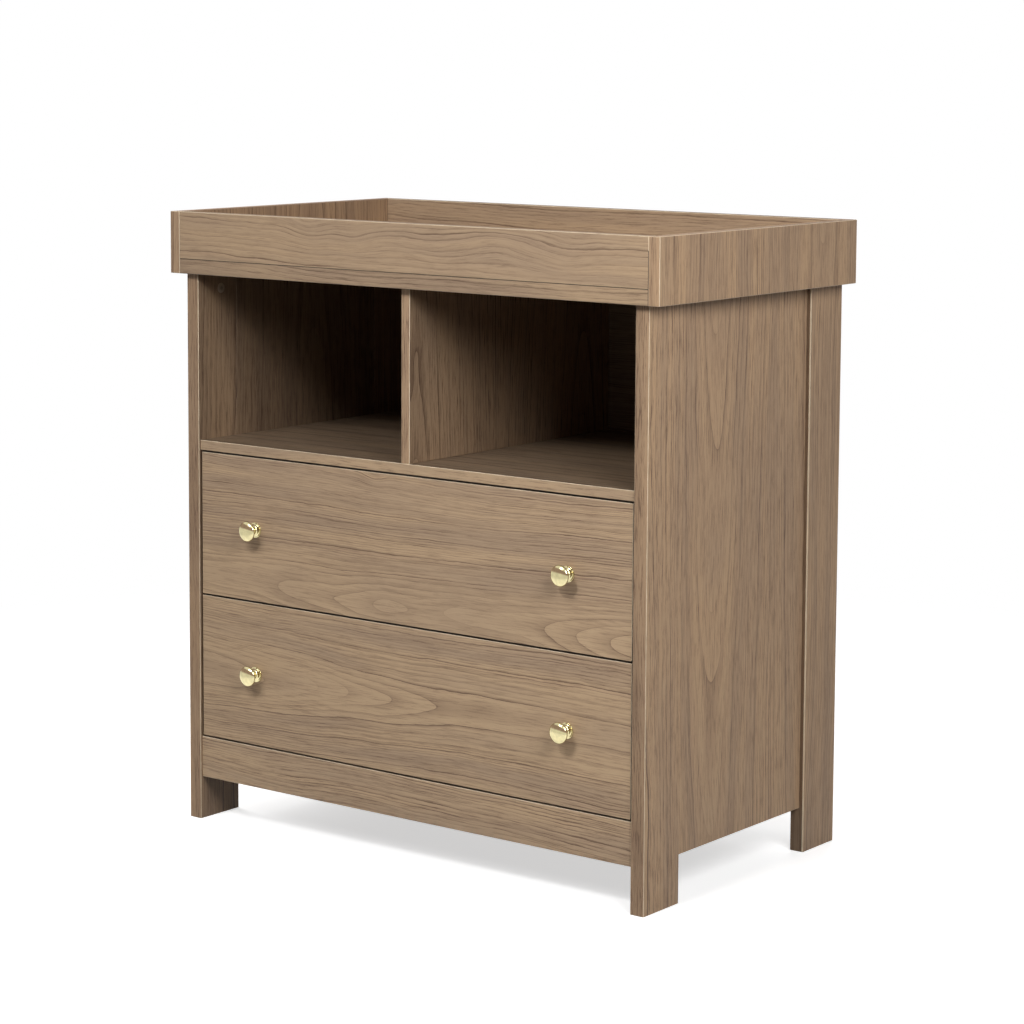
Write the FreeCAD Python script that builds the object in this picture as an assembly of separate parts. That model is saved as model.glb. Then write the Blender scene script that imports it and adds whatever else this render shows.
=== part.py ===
import FreeCAD, Part
import math
import os

# Changing dresser in walnut-foiled board: a fixed changing tray on top, two open compartments under
# it and two inset drawers on steel roller runners below.
#
# Millimetres. +X is the viewer's right, +Y goes from the front to the back, +Z is up.
# The origin is on the floor, in the middle of the overall width and of the overall depth.

os.makedirs("parts", exist_ok=True)

V = FreeCAD.Vector
X_AXIS = V(1, 0, 0)
Y_AXIS = V(0, 1, 0)
Z_AXIS = V(0, 0, 1)

# ---- driving dimensions ------------------------------------------------------------------------
# Tray
TRAY_WIDTH = 880.0              # outside, over the two side walls
TRAY_DEPTH = 503.0              # outside, front wall to back wall
TRAY_TOP = 919.0                # height of the rim above the floor
TRAY_LIP = 70.0                 # rim above the tray floor
WALL = 18.0                     # tray wall board
TOP_BOARD = 22.0                # tray floor, which is also the carcass top

# Legs and side panels
LEG_THICK = 22.0                # across the width
LEG_DEPTH = 84.0                # front to back
LEG_SIDE_SETBACK = 23.0         # from the tray's side to the leg's outer face
LEG_FRONT_SETBACK = 11.0        # from the tray's front to the leg's front face
GROUND_GAP = 65.0               # floor to the side panels and rails

# Carcass boards
BOARD = 15.0                    # side panels, shelf, divider, rails and drawer fronts
FRONT_RECESS = 3.0              # shelf, divider, rail and drawer fronts behind the legs' front
SHELF_TOP = 578.0
RAIL_HEIGHT = 62.0
BACK_SHEET = 3.0                # back panel
BACK_REBATE = 4.0               # depth of the rebate it lies in
BACK_LAP = 11.0                 # how far it laps onto each back leg
BACK_EDGE = 5.0                 # into the groove above, and above the rails' bottom edge below
ARRIS = 0.6                     # softened edges of the foiled boards

# Drawers
DRAWER_SIDE_GAP = 3.0
DRAWER_GAP = 2.5                # above, between and below the fronts
BOX_BOARD = 12.0
BOX_LENGTH = 400.0
BOX_HEIGHT = 160.0
BOX_LIFT = 20.0                 # bottom edge of the box above the front's bottom edge
BOX_BOTTOM = 3.0
BOX_BOTTOM_LIFT = 10.0          # bottom sheet above the box's bottom edge
GROOVE = 5.0                    # depth of the grooves for the bottom and the back
BOX_BACK_INSET = 4.0            # back board in front of the sides' rear ends

# Knobs
KNOB_X = 285.0                  # each side of the middle
KNOB_REACH = 25.0
KNOB_HEAD_R = 15.0
KNOB_NECK_R = 5.0
KNOB_FLANGE_R = 11.5
# Half section from the axis at the wall to the axis at the tip, as radius and reach
KNOB_SECTION = [
    (0.0, 0.0),
    (KNOB_FLANGE_R, 0.0),
    (KNOB_FLANGE_R, 2.0),
    (KNOB_NECK_R, 2.0),
    (KNOB_NECK_R, 11.5),
    (KNOB_HEAD_R, 18.6),
    (KNOB_HEAD_R, 20.8),
    (8.5, KNOB_REACH),
    (0.0, KNOB_REACH),
]

# Roller runners
RUNNER_SPACE = 12.5             # between the drawer box and the carcass
SHEET = 1.2                     # folded steel
ROLLER_R = 7.0
ROLLER_WIDTH = 6.8
ROLL_GAP = 0.2                  # between a roller and its track
AXLE_R = 2.0
AXLE_FIT = 0.05                 # running clearance of a roller's bore, at its flats, on the axle
DRAWER_TRAVEL = 290.0

# Fasteners
DOWEL_R = 4.0
DOWEL_LENGTH = 30.0
CAM_R = 7.5
CAM_SETBACK = 24.0              # from the joint to the middle of the cam
CAM_PAST_MIDDLE = 4.5           # pocket bored this far past the middle of its board
BOLT_R = 3.0
BOLT_BITE = 11.0                # bolt screwed into the mating board
LONG_HEAD = (4.5, 3.0)          # screw heads: radius and height
SMALL_HEAD = (3.2, 1.0)
KNOB_SCREW_HEAD = (4.0, 2.4)
LONG_SHANK = (2.2, 47.0)        # screw shanks: radius and length under the head
SMALL_SHANK = (1.5, 9.0)
KNOB_SCREW_SHANK = (2.0, 24.0)
HIDDEN_SIDES = 5                # flats on dowels, bolts and screws
CAM_SIDES = 8                   # flats on the cams and their pockets
TYRE_SIDES = 24                 # flats on the rollers' running faces
HUB_SIDES = 12                  # flats in the rollers' bores

# Where the fixings sit
LEG_CAM_INSET = 50.0            # from the front and back of the carcass
LEG_DOWEL_INSET = 22.0
DIVIDER_INSET = 100.0
WALL_DOWEL_INSET = 110.0        # from the front and back of the tray
PANEL_DOWEL_INSET = 120.0       # from the ends of a side panel
RAIL_DOWEL_LIFT = 14.0          # above the bottom edge of a rail
WALL_SCREW_X = (-300.0, 0.0, 300.0)
BACK_SCREW_X = (-200.0, 200.0)  # into the shelf and the back rail
BACK_SCREW_Z = (300.0, 700.0)   # into the back legs
BOX_CAM_DROP = 40.0             # below the top edge of the drawer box
BOX_SCREW_X = (-220.0, 220.0)   # drawer bottom to the back board

# ---- derived places ----------------------------------------------------------------------------
KNOB_PROUD = KNOB_REACH - FRONT_RECESS                       # knob tip in front of the legs
CARCASS_DEPTH = TRAY_DEPTH - LEG_FRONT_SETBACK
LEG_FRONT = KNOB_PROUD - (CARCASS_DEPTH + KNOB_PROUD) / 2
BACK = LEG_FRONT + CARCASS_DEPTH
TRAY_FRONT = LEG_FRONT - LEG_FRONT_SETBACK
FACE = LEG_FRONT + FRONT_RECESS                              # front plane of shelf and drawers
SHEET_FACE = BACK - BACK_REBATE                              # front plane of the back panel

TRAY_X = TRAY_WIDTH / 2
TRAY_INNER_X = TRAY_X - WALL
LEG_X = TRAY_X - LEG_SIDE_SETBACK
INNER_X = LEG_X - LEG_THICK                                  # clear half-width of the carcass
TRAY_FLOOR = TRAY_TOP - TRAY_LIP
LEG_TOP = TRAY_FLOOR - TOP_BOARD
SHELF_BOTTOM = SHELF_TOP - BOARD
RAIL_TOP = GROUND_GAP + RAIL_HEIGHT

FRONT_HEIGHT = (SHELF_BOTTOM - RAIL_TOP - 3 * DRAWER_GAP) / 2
LOWER_FRONT_Z = RAIL_TOP + DRAWER_GAP
UPPER_FRONT_Z = LOWER_FRONT_Z + FRONT_HEIGHT + DRAWER_GAP
FRONT_X = INNER_X - DRAWER_SIDE_GAP
BOX_X = INNER_X - RUNNER_SPACE
BOX_INNER_X = BOX_X - BOX_BOARD
BOX_FRONT = FACE + BOARD
BOX_BACK = BOX_FRONT + BOX_LENGTH
FRONT_Z = {"lower": LOWER_FRONT_Z, "upper": UPPER_FRONT_Z}
BOX_Z = {place: z + BOX_LIFT for place, z in FRONT_Z.items()}

FOOT_MID = LEG_FRONT + LEG_DEPTH / 2
REAR_FOOT_MID = BACK - LEG_DEPTH / 2

parts = {}


# ---- shapes and fasteners ----------------------------------------------------------------------
def box(x0, x1, y0, y1, z0, z1):
    return Part.makeBox(x1 - x0, y1 - y0, z1 - z0, V(x0, y0, z0))


def board(x0, x1, y0, y1, z0, z1):
    """A foiled board with every arris softened."""
    plain = box(x0, x1, y0, y1, z0, z1)
    return plain.makeChamfer(ARRIS, plain.Edges)


def rod(point, direction, radius, length):
    return Part.makeCylinder(radius, length, point, direction)


def flats(point, direction, radius, sides=HIDDEN_SIDES):
    """The outline of a small round piece, drawn with flats because it is hidden or tiny. Its
    left-hand and right-hand copies mirror each other."""
    side = Y_AXIS if abs(direction.dot(Y_AXIS)) < 0.5 else Z_AXIS
    other = direction.cross(side)
    corners = []
    for i in range(sides):
        turn = 2 * math.pi * (i + 0.5) / sides
        corners.append(point + side * (radius * math.cos(turn)) + other * (radius * math.sin(turn)))
    return Part.makePolygon(corners + corners[:1])


def hidden_rod(point, direction, radius, length):
    """A dowel, bolt, rivet head or screw shank."""
    return Part.Face(flats(point, direction, radius)).extrude(direction * length)


def dowel(point, direction):
    """Half of the dowel lies each side of the joint."""
    return hidden_rod(point - direction * (DOWEL_LENGTH / 2), direction, DOWEL_R, DOWEL_LENGTH)


def cam_bolt(point, inward):
    """Screwed into the mating board at the joint, with its head in the middle of the cam."""
    length = BOLT_BITE + CAM_SETBACK + BOLT_R
    return hidden_rod(point - inward * BOLT_BITE, inward, BOLT_R, length)


def cam_pocket(point, inward, face, thickness):
    """The pocket bored into the board's face, a little past its middle."""
    height = thickness / 2 + CAM_PAST_MIDDLE
    centre = point + inward * CAM_SETBACK + face * (thickness / 2)
    return Part.Face(flats(centre, face, CAM_R, CAM_SIDES)).extrude(face * -height)


def cam_lock(point, inward, face, thickness):
    """The cam that fills its pocket, hollow where it grips the bolt."""
    return cam_pocket(point, inward, face, thickness).cut(cam_bolt(point, inward))


def screw(seat, direction, head, shank):
    """Driven along direction, with the underside of its head on the seat."""
    head_r, head_height = head
    shank_r, length = shank
    cap = hidden_rod(seat, direction * -1, head_r, head_height)
    return cap.fuse(hidden_rod(seat, direction, shank_r, length))


def small_screw(seat, direction):
    return screw(seat, direction, SMALL_HEAD, SMALL_SHANK)


def sunk_screw(point, direction):
    """A long screw whose head lies flush in the board at the point."""
    return screw(point + direction * LONG_HEAD[1], direction, LONG_HEAD, LONG_SHANK)


def mirrored(shape):
    return shape.mirror(V(0, 0, 0), X_AXIS)


# ---- carcass joints ----------------------------------------------------------------------------
LEG_CAM_Y = (LEG_FRONT + LEG_CAM_INSET, BACK - LEG_CAM_INSET)
LEG_DOWEL_Y = (LEG_FRONT + LEG_DOWEL_INSET, BACK - LEG_DOWEL_INSET)
DIVIDER_Y = (LEG_FRONT + DIVIDER_INSET, BACK - DIVIDER_INSET)
WALL_DOWEL_Y = (TRAY_FRONT + WALL_DOWEL_INSET, BACK - WALL_DOWEL_INSET)
WALL_MID_Y = (TRAY_FRONT + WALL / 2, BACK - WALL / 2)
PANEL_DOWEL_Z = (GROUND_GAP + PANEL_DOWEL_INSET, LEG_TOP - PANEL_DOWEL_INSET)
RAIL_Y = (FACE + BOARD / 2, SHEET_FACE - BOARD / 2)
RAIL_MID_Z = GROUND_GAP + RAIL_HEIGHT / 2
SHELF_MID_Z = SHELF_BOTTOM + BOARD / 2
PANEL_X = INNER_X + BOARD / 2                                # middle of a side panel's thickness
LEG_MID_X = LEG_X - LEG_THICK / 2


def carcass_cams():
    """Each cam joint as its point on the joint, the way into the cam's board, the cam's face and
    the thickness of that board."""
    joints = []
    for side in (-1, 1):
        inner = X_AXIS * -side
        for y in LEG_CAM_Y:
            joints.append((V(side * LEG_MID_X, y, LEG_TOP), Z_AXIS * -1, inner, LEG_THICK))
        for y in (FOOT_MID, REAR_FOOT_MID):
            joints.append((V(side * INNER_X, y, SHELF_MID_Z), inner, Z_AXIS * -1, BOARD))
        for y, face in zip(RAIL_Y, (Y_AXIS, Y_AXIS * -1)):
            joints.append((V(side * INNER_X, y, RAIL_MID_Z), inner, face, BOARD))
    return joints


def carcass_dowels():
    dowels = []
    for side in (-1, 1):
        for y in LEG_DOWEL_Y:
            dowels.append(dowel(V(side * LEG_MID_X, y, LEG_TOP), Z_AXIS))
        for y in WALL_DOWEL_Y:
            dowels.append(dowel(V(side * TRAY_INNER_X, y, LEG_TOP + TOP_BOARD / 2), X_AXIS))
        for y in WALL_MID_Y:
            dowels.append(dowel(V(side * TRAY_INNER_X, y, TRAY_FLOOR + TRAY_LIP / 2), X_AXIS))
        for z in PANEL_DOWEL_Z:
            for y in (LEG_FRONT + LEG_DEPTH, BACK - LEG_DEPTH):
                dowels.append(dowel(V(side * PANEL_X, y, z), Y_AXIS))
        for y in RAIL_Y:
            dowels.append(dowel(V(side * INNER_X, y, GROUND_GAP + RAIL_DOWEL_LIFT), X_AXIS))
    for y in DIVIDER_Y:
        dowels.append(dowel(V(0, y, LEG_TOP), Z_AXIS))
    return dowels


def carcass_screws():
    """Tray walls from below, divider through the shelf."""
    screws = []
    for x in WALL_SCREW_X:
        for y in WALL_MID_Y:
            screws.append(sunk_screw(V(x, y, LEG_TOP), Z_AXIS))
    for y in DIVIDER_Y:
        screws.append(sunk_screw(V(0, y, SHELF_BOTTOM), Z_AXIS))
    return screws


def back_screws():
    places = []
    for x in BACK_SCREW_X:
        places += [(x, SHELF_MID_Z), (x, RAIL_MID_Z)]
    for x in (-INNER_X - BACK_LAP / 2, INNER_X + BACK_LAP / 2):
        places += [(x, z) for z in BACK_SCREW_Z]
    return [small_screw(V(x, SHEET_FACE + BACK_SHEET, z), Y_AXIS * -1) for x, z in places]


CAM_JOINTS = carcass_cams()
CAM_BOLTS = [cam_bolt(*joint[:2]) for joint in CAM_JOINTS]
CAM_LOCKS = [cam_lock(*joint) for joint in CAM_JOINTS]
CAM_POCKETS = [cam_pocket(*joint) for joint in CAM_JOINTS]
DOWELS = carcass_dowels()
LONG_SCREWS = carcass_screws()
BACK_SCREWS = back_screws()


# ---- runner section ----------------------------------------------------------------------------
# The section is drawn for the left-hand side. u runs from the carcass's inner face towards the
# drawer, h runs up from the bottom edge of the drawer's side, and y runs back.
TRACK_H = 2.0                                                # carcass member's lower track
FLANGE_H = 14.0                                              # underside of the drawer member's flange
LIP_H = 16.8                                                 # underside of the carcass member's lip
TRACK_REACH = 11.0                                           # from the carcass towards the drawer
LIP_REACH = 9.5
FLANGE_START = 3.0
ROLLER_U = 3.4                                               # outer face of the rollers
DRAWER_WEB_U = RUNNER_SPACE - SHEET
AXLE_HEAD_R = 3.0
AXLE_HEAD = 0.6                                              # thickness of the riveted head
AXLE_SLACK = 0.1                                             # between that head and the roller
END_GAP = 0.4                                                # rear roller to either end of its run
RUNNER_INSET = 2.0                                           # carcass member behind the drawer front
MEMBER_INSET = 1.0                                           # drawer member behind the drawer front
FRONT_AXLE_INSET = 12.0                                      # from the carcass member's front end
REAR_AXLE_INSET = 5.5                                        # from the drawer member's rear end
TRACK_CLEAR = 3.0                                            # front roller to the start of the track
FLANGE_CLEAR = 1.0                                           # rear roller to the end of the flange
WEB_SCREW_INSET = (66.0, 130.0)                              # from the front and back of the carcass
FOOT_SCREW_INSET = 60.0                                      # from the ends of the drawer box

RUNNER_FRONT = BOX_FRONT + RUNNER_INSET
MEMBER_FRONT = BOX_FRONT + MEMBER_INSET
FRONT_ROLLER_Y = RUNNER_FRONT + FRONT_AXLE_INSET
TRACK_START = FRONT_ROLLER_Y + ROLLER_R + TRACK_CLEAR
REAR_ROLLER_Y = BOX_BACK - REAR_AXLE_INSET
FLANGE_BACK = REAR_ROLLER_Y - ROLLER_R - FLANGE_CLEAR
RUNNER_BACK = REAR_ROLLER_Y + ROLLER_R + END_GAP + SHEET
FRONT_ROLLER_H = FLANGE_H - ROLL_GAP - ROLLER_R
REAR_ROLLER_H = TRACK_H + ROLL_GAP + ROLLER_R
STOP_HEIGHT = 3.0
STOP_LENGTH = 3.0
STOP_REACH = math.sqrt(ROLLER_R ** 2 - (REAR_ROLLER_H - TRACK_H - STOP_HEIGHT) ** 2)
STOP_BACK = REAR_ROLLER_Y - DRAWER_TRAVEL - STOP_REACH - END_GAP
WEB_SCREW_Y = (LEG_FRONT + WEB_SCREW_INSET[0], BACK - WEB_SCREW_INSET[1])
FOOT_SCREW_Y = (BOX_FRONT + FOOT_SCREW_INSET, BOX_BACK - FOOT_SCREW_INSET)


def runner_box(u0, u1, y0, y1, h0, h1, z):
    """A block of the left-hand runner, for a drawer box whose bottom edge is at z."""
    return box(u0 - INNER_X, u1 - INNER_X, y0, y1, z + h0, z + h1)


def runner_screws(z):
    """Through the carcass member's web, into the front leg and the side panel."""
    h = (TRACK_H + LIP_H) / 2
    return [small_screw(V(SHEET - INNER_X, y, z + h), X_AXIS * -1) for y in WEB_SCREW_Y]


def foot_screws(z):
    """Up through the drawer member's foot into the drawer's side."""
    x = BOX_BOARD / 2 - BOX_X
    return [small_screw(V(x, y, z - SHEET), Z_AXIS) for y in FOOT_SCREW_Y]


def axle(u0, u1, y, h, z):
    """The axle from u0 to u1, riveted over past the roller."""
    base = V(u0 - INNER_X, y, z + h)
    direction = X_AXIS if u1 > u0 else X_AXIS * -1
    length = abs(u1 - u0)
    pin = rod(base, direction, AXLE_R, length)
    head = hidden_rod(base + direction * (length - AXLE_HEAD), direction, AXLE_HEAD_R, AXLE_HEAD)
    return pin.fuse(head)


def carcass_runner(z):
    """Folded channel: web on the carcass, lower track behind the front roller, upper lip that
    holds the drawer's rear roller down, a stop lug and a turned-up end."""
    web = runner_box(0, SHEET, RUNNER_FRONT, RUNNER_BACK, TRACK_H - SHEET, LIP_H + SHEET, z)
    track = runner_box(0, TRACK_REACH, TRACK_START, RUNNER_BACK, TRACK_H - SHEET, TRACK_H, z)
    lip = runner_box(0, LIP_REACH, RUNNER_FRONT, RUNNER_BACK, LIP_H, LIP_H + SHEET, z)
    end = runner_box(0, LIP_REACH, RUNNER_BACK - SHEET, RUNNER_BACK, TRACK_H, LIP_H, z)
    stop_top = TRACK_H + STOP_HEIGHT
    stop = runner_box(FLANGE_START, LIP_REACH, STOP_BACK - STOP_LENGTH, STOP_BACK, TRACK_H, stop_top, z)
    axle_end = ROLLER_U + ROLLER_WIDTH + AXLE_SLACK + AXLE_HEAD
    front_axle = axle(SHEET, axle_end, FRONT_ROLLER_Y, FRONT_ROLLER_H, z)
    member = web.fuse([track, lip, end, stop, front_axle])
    return member.removeSplitter().cut(runner_screws(z))


def drawer_runner(z):
    """Folded Z section: a foot under the drawer's side, a web against it and a flange that rides
    on the front roller, cut short where the rear roller is riveted on."""
    top = FLANGE_H + SHEET
    foot = runner_box(DRAWER_WEB_U, RUNNER_SPACE + BOX_BOARD, MEMBER_FRONT, BOX_BACK, -SHEET, 0, z)
    web = runner_box(DRAWER_WEB_U, RUNNER_SPACE, MEMBER_FRONT, BOX_BACK, -SHEET, top, z)
    flange = runner_box(FLANGE_START, RUNNER_SPACE, MEMBER_FRONT, FLANGE_BACK, FLANGE_H, top, z)
    axle_end = ROLLER_U - AXLE_SLACK - AXLE_HEAD
    rear_axle = axle(DRAWER_WEB_U, axle_end, REAR_ROLLER_Y, REAR_ROLLER_H, z)
    member = foot.fuse([web, flange, rear_axle])
    return member.removeSplitter().cut(foot_screws(z))


def roller(y, h, z):
    base = V(ROLLER_U - INNER_X, y, z + h)
    bore_r = (AXLE_R + AXLE_FIT) / math.cos(math.pi / HUB_SIDES)
    rim = Part.Face(flats(base, X_AXIS, ROLLER_R, TYRE_SIDES))
    bore = Part.Face(flats(base, X_AXIS, bore_r, HUB_SIDES))
    return rim.cut(bore).extrude(X_AXIS * ROLLER_WIDTH)


# ---- tray --------------------------------------------------------------------------------------
BACK_SHEET_TOP = LEG_TOP + BACK_EDGE
BACK_SHEET_BOTTOM = GROUND_GAP + BACK_EDGE


def make_tray():
    top = board(-TRAY_INNER_X, TRAY_INNER_X, TRAY_FRONT, BACK, LEG_TOP, TRAY_FLOOR)
    groove_x = INNER_X + BACK_LAP
    groove = box(-groove_x, groove_x, SHEET_FACE, SHEET_FACE + BACK_SHEET, LEG_TOP, BACK_SHEET_TOP)
    parts["top_panel"] = top.cut([groove] + DOWELS + CAM_BOLTS + LONG_SCREWS)

    front = board(-TRAY_INNER_X, TRAY_INNER_X, TRAY_FRONT, TRAY_FRONT + WALL, TRAY_FLOOR, TRAY_TOP)
    back = board(-TRAY_INNER_X, TRAY_INNER_X, BACK - WALL, BACK, TRAY_FLOOR, TRAY_TOP)
    parts["tray_front_wall"] = front.cut(DOWELS + LONG_SCREWS)
    parts["tray_back_wall"] = back.cut(DOWELS + LONG_SCREWS)

    side = board(-TRAY_X, -TRAY_INNER_X, TRAY_FRONT, BACK, LEG_TOP, TRAY_TOP)
    side = side.cut(DOWELS)
    parts["tray_wall_left"] = side
    parts["tray_wall_right"] = mirrored(side)


# ---- legs and side panels ----------------------------------------------------------------------
def make_sides():
    front_leg = board(-LEG_X, -INNER_X, LEG_FRONT, LEG_FRONT + LEG_DEPTH, 0, LEG_TOP)
    back_leg = board(-LEG_X, -INNER_X, BACK - LEG_DEPTH, BACK, 0, LEG_TOP)
    rebate = box(-INNER_X - BACK_LAP, -INNER_X, SHEET_FACE, BACK, BACK_SHEET_BOTTOM, LEG_TOP)
    back_leg = back_leg.cut(rebate)
    panel = board(-INNER_X - BOARD, -INNER_X, LEG_FRONT + LEG_DEPTH, BACK - LEG_DEPTH, GROUND_GAP, LEG_TOP)
    runner_holes = runner_screws(BOX_Z["upper"]) + runner_screws(BOX_Z["lower"])
    fixings = DOWELS + CAM_BOLTS + CAM_POCKETS + runner_holes + BACK_SCREWS
    for name, blank in (("leg_front", front_leg), ("leg_back", back_leg), ("side_panel", panel)):
        shape = blank.cut(fixings)
        parts[name + "_left"] = shape
        parts[name + "_right"] = mirrored(shape)


# ---- shelf, divider, rails and back ------------------------------------------------------------
def make_carcass_boards():
    shelf = board(-INNER_X, INNER_X, FACE, SHEET_FACE, SHELF_BOTTOM, SHELF_TOP)
    parts["shelf"] = shelf.cut(CAM_BOLTS + CAM_POCKETS + LONG_SCREWS + BACK_SCREWS)

    divider = board(-BOARD / 2, BOARD / 2, FACE, SHEET_FACE, SHELF_TOP, LEG_TOP)
    parts["divider"] = divider.cut(DOWELS + LONG_SCREWS)

    for name, middle in zip(("rail_front", "rail_back"), RAIL_Y):
        rail = board(-INNER_X, INNER_X, middle - BOARD / 2, middle + BOARD / 2, GROUND_GAP, RAIL_TOP)
        parts[name] = rail.cut(CAM_BOLTS + CAM_POCKETS + DOWELS + BACK_SCREWS)

    lap = INNER_X + BACK_LAP
    sheet = box(-lap, lap, SHEET_FACE, SHEET_FACE + BACK_SHEET, BACK_SHEET_BOTTOM, BACK_SHEET_TOP)
    parts["back_panel"] = sheet.cut(BACK_SCREWS)


# ---- drawers -----------------------------------------------------------------------------------
def knob(x, z):
    """Turned mushroom knob: thin flange, narrow neck and a flared head with a low cone on its face."""
    corners = [V(radius, reach, 0) for radius, reach in KNOB_SECTION]
    half = Part.Face(Part.makePolygon(corners + corners[:1]))
    turned = half.revolve(V(0, 0, 0), Y_AXIS, 360)
    turned.rotate(V(0, 0, 0), Z_AXIS, 180)
    turned.translate(V(x, FACE, z))
    return turned


def knob_screw(x, z):
    """From inside the drawer, through the front and into the knob."""
    return screw(V(x, BOX_FRONT, z), Y_AXIS * -1, KNOB_SCREW_HEAD, KNOB_SCREW_SHANK)


def make_drawer(place):
    z = BOX_Z[place]
    front_z = FRONT_Z[place]
    name = place + "_drawer_"
    knob_z = front_z + FRONT_HEIGHT / 2
    knob_screws = [knob_screw(x, knob_z) for x in (-KNOB_X, KNOB_X)]

    cams = []
    for side in (-1, 1):
        point = V(side * (BOX_X - BOX_BOARD / 2), BOX_FRONT, z + BOX_HEIGHT - BOX_CAM_DROP)
        cams.append((point, Y_AXIS, X_AXIS * -side, BOX_BOARD))
    bolts = [cam_bolt(*joint[:2]) for joint in cams]
    locks = [cam_lock(*joint) for joint in cams]
    pockets = [cam_pocket(*joint) for joint in cams]

    sheet_z = z + BOX_BOTTOM_LIFT
    sheet_x = BOX_INNER_X + GROOVE
    bottom = box(-sheet_x, sheet_x, BOX_FRONT - GROOVE, BOX_BACK, sheet_z, sheet_z + BOX_BOTTOM)
    back_y = BOX_BACK - BOX_BACK_INSET - BOX_BOARD
    back = box(-sheet_x, sheet_x, back_y, back_y + BOX_BOARD, sheet_z + BOX_BOTTOM, z + BOX_HEIGHT)
    sheet_screws = [small_screw(V(x, back_y + BOX_BOARD / 2, sheet_z), Z_AXIS) for x in BOX_SCREW_X]
    left_screws = foot_screws(z)

    front = board(-FRONT_X, FRONT_X, FACE, BOX_FRONT, front_z, front_z + FRONT_HEIGHT)
    parts[name + "front"] = front.cut([bottom] + bolts + knob_screws)

    side = box(-BOX_X, -BOX_INNER_X, BOX_FRONT, BOX_BACK, z, z + BOX_HEIGHT)
    side = side.cut([bottom, back] + bolts + pockets + left_screws)
    parts[name + "side_left"] = side
    parts[name + "side_right"] = mirrored(side)
    parts[name + "back"] = back.cut(sheet_screws)
    parts[name + "bottom"] = bottom.cut(sheet_screws)

    knobs = [knob(x, knob_z).cut(knob_screws) for x in (-KNOB_X, KNOB_X)]
    parts[name + "knobs"] = Part.makeCompound(knobs)
    parts[name + "knob_screws"] = Part.makeCompound(knob_screws)
    parts[name + "cam_locks"] = Part.makeCompound(locks)
    parts[name + "cam_bolts"] = Part.makeCompound(bolts)
    right_screws = [mirrored(piece) for piece in left_screws]
    parts[name + "screws"] = Part.makeCompound(sheet_screws + left_screws + right_screws)

    member = drawer_runner(z)
    wheel = roller(REAR_ROLLER_Y, REAR_ROLLER_H, z)
    parts[name + "runner_left"] = member
    parts[name + "runner_right"] = mirrored(member)
    parts[name + "roller_left"] = wheel
    parts[name + "roller_right"] = mirrored(wheel)


def make_carcass_runner(place):
    z = BOX_Z[place]
    member = carcass_runner(z)
    wheel = roller(FRONT_ROLLER_Y, FRONT_ROLLER_H, z)
    parts[place + "_runner_left"] = member
    parts[place + "_runner_right"] = mirrored(member)
    parts[place + "_front_roller_left"] = wheel
    parts[place + "_front_roller_right"] = mirrored(wheel)


# ---- assembly ----------------------------------------------------------------------------------
make_tray()
make_sides()
make_carcass_boards()
for place in ("upper", "lower"):
    make_carcass_runner(place)
    make_drawer(place)

parts["cam_locks"] = Part.makeCompound(CAM_LOCKS)
parts["cam_bolts"] = Part.makeCompound(CAM_BOLTS)
parts["dowels"] = Part.makeCompound(DOWELS)
parts["long_screws"] = Part.makeCompound(LONG_SCREWS)
left_screws = runner_screws(BOX_Z["upper"]) + runner_screws(BOX_Z["lower"])
right_screws = [mirrored(piece) for piece in left_screws]
parts["small_screws"] = Part.makeCompound(BACK_SCREWS + left_screws + right_screws)

for name, shape in parts.items():
    shape.exportStep("parts/" + name + ".step")
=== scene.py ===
import math

import bmesh
import bpy
from mathutils import Matrix, Vector
from mathutils.geometry import delaunay_2d_cdt


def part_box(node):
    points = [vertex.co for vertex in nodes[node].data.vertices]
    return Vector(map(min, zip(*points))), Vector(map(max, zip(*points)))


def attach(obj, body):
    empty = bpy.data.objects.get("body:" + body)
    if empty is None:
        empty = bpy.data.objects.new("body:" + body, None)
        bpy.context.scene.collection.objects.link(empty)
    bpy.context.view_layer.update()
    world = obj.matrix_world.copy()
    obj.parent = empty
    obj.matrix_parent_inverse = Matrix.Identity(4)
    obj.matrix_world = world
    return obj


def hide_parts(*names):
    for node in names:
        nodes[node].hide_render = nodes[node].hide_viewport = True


# Looks of the changing dresser: walnut-foiled boards, brass knobs, zinc fittings and steel runners.
# Metres. +X is the viewer's right, +Y runs from the front to the back, +Z is up.

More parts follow.
